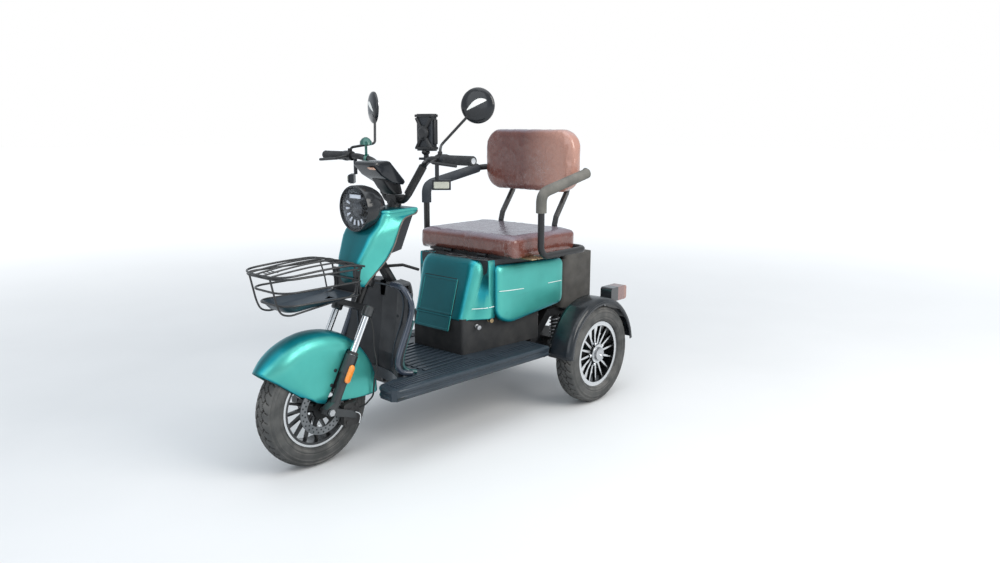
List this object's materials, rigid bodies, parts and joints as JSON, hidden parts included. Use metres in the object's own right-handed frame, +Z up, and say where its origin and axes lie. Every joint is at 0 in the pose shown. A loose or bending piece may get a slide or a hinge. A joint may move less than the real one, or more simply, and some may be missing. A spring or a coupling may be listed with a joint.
{
  "type": "electric tricycle",
  "caption": "Three-wheeled electric scooter with one steered front wheel, a padded seat with backrest and armrests, wire basket, flat floor and a rear box.",
  "frame": {"origin": "on the ground, at the middle of the object's length and width", "axes": "+X forward, +Y to the rider's left, +Z up"},
  "size_m": [1.6212, 0.796, 1.272],
  "materials": {
    "tyre_rubber": "dusty matt rubber",
    "rim_alloy": "black with machined edges",
    "disc_steel": "brushed",
    "zinc_steel": "zinc plated",
    "fork_alloy": "satin dark grey",
    "stanchion_chrome": "polished",
    "black_metal": "gloss black",
    "green_paint": "metallic teal lacquer",
    "grip_rubber": "matt moulded",
    "gloss_black": "gloss black",
    "mirror_glass": "mirror",
    "black_plastic": "fine grain",
    "clear_lens": "clear",
    "caliper_iron": "black cast",
    "floor_plastic": "ribbed",
    "basket_wire": "powder coat",
    "battery_case": "moulded",
    "seat_vinyl": "brown vinyl under clear film",
    "box_plastic": "dusty",
    "tail_lens": "pink clear",
    "amber_reflector": "amber",
    "bell_green": "green",
    "foam_sleeve": "grey foam"
  },
  "bodies": {
    "chassis": {"frame": "black_metal", "floorboard": "floor_plastic", "leg_shield": "black_plastic", "front_fairing": "green_paint", "fairing_liner": "black_plastic", "headlight_housing": "gloss_black", "headlight_lens": "clear_lens", "basket": "basket_wire", "basket_bracket": "black_metal", "armrest_pads": "foam_sleeve", "battery_tub": "black_plastic", "battery": "battery_case", "seat_shell": "green_paint", "seat_box": "black_plastic", "side_panels": "green_paint", "armrest_frame": "black_metal", "backrest_pad": "seat_vinyl", "backrest_frame": "black_metal", "rear_box": "box_plastic", "rear_mudguards": "gloss_black", "tail_lamps": "tail_lens", "rear_axle": "black_metal", "shock_absorbers": "black_metal"},
    "fork": {"fork_lowers": "fork_alloy", "fork_reflectors": "amber_reflector", "brake_hose": "grip_rubber", "bell": "bell_green", "fork_stanchions": "stanchion_chrome", "fork_crown": "black_metal", "front_fender": "green_paint", "front_axle": "zinc_steel", "handlebar": "black_metal", "bar_clamp": "black_metal", "grips": "grip_rubber", "brake_levers": "black_metal", "mirrors": "gloss_black", "mirror_glass": "mirror_glass", "phone_holder": "black_plastic", "signal_housings": "black_plastic", "signal_lenses": "clear_lens", "instrument_pod": "black_plastic", "brake_caliper": "caliper_iron"},
    "front_wheel": {"front_tyre": "tyre_rubber", "front_rim": "rim_alloy", "brake_disc": "disc_steel"},
    "rear_wheel_left": {"rear_tyre_left": "tyre_rubber", "rear_rim_left": "rim_alloy"},
    "rear_wheel_right": {"rear_tyre_right": "tyre_rubber", "rear_rim_right": "rim_alloy"},
    "basket_lid": {"basket_lid": "basket_wire"},
    "seat": {"seat_pan": "black_plastic", "seat_cushion": "seat_vinyl"},
    "storage_door": {"storage_door": "green_paint"},
    "rear_box_lid": {"rear_box_lid": "box_plastic"}
  },
  "joints": [
    {"name": "steering", "type": "hinge", "parent": "chassis", "child": "fork", "pos_m": [0.556, 0, 0.206], "axis": [-0.4648, 0, 0.8854], "range_deg": [-35, 35]},
    {"name": "front_wheel_spin", "type": "hinge", "parent": "fork", "child": "front_wheel", "pos_m": [0.595, 0, 0.206], "axis": [0, 1, 0], "continuous": true},
    {"name": "rear_left_spin", "type": "hinge", "parent": "chassis", "child": "rear_wheel_left", "pos_m": [-0.575, 0.333, 0.206], "axis": [0, 1, 0], "continuous": true},
    {"name": "rear_right_spin", "type": "hinge", "parent": "chassis", "child": "rear_wheel_right", "pos_m": [-0.575, -0.333, 0.206], "axis": [0, 1, 0], "continuous": true},
    {"name": "basket_lid_hinge", "type": "hinge", "parent": "chassis", "child": "basket_lid", "pos_m": [0.447, 0, 0.6823], "axis": [0, -1, 0], "range_deg": [0, 70]},
    {"name": "seat_hinge", "type": "hinge", "parent": "chassis", "child": "seat", "pos_m": [-0.15, 0, 0.648], "axis": [0, 1, 0], "range_deg": [0, 60]},
    {"name": "storage_door_hinge", "type": "hinge", "parent": "chassis", "child": "storage_door", "pos_m": [0.008, 0, 0.428], "axis": [0, 1, 0], "range_deg": [0, 80]},
    {"name": "rear_box_lid_hinge", "type": "hinge", "parent": "chassis", "child": "rear_box_lid", "pos_m": [-0.7625, 0, 0.595], "axis": [0, -1, 0], "range_deg": [0, 70]}
  ]
}
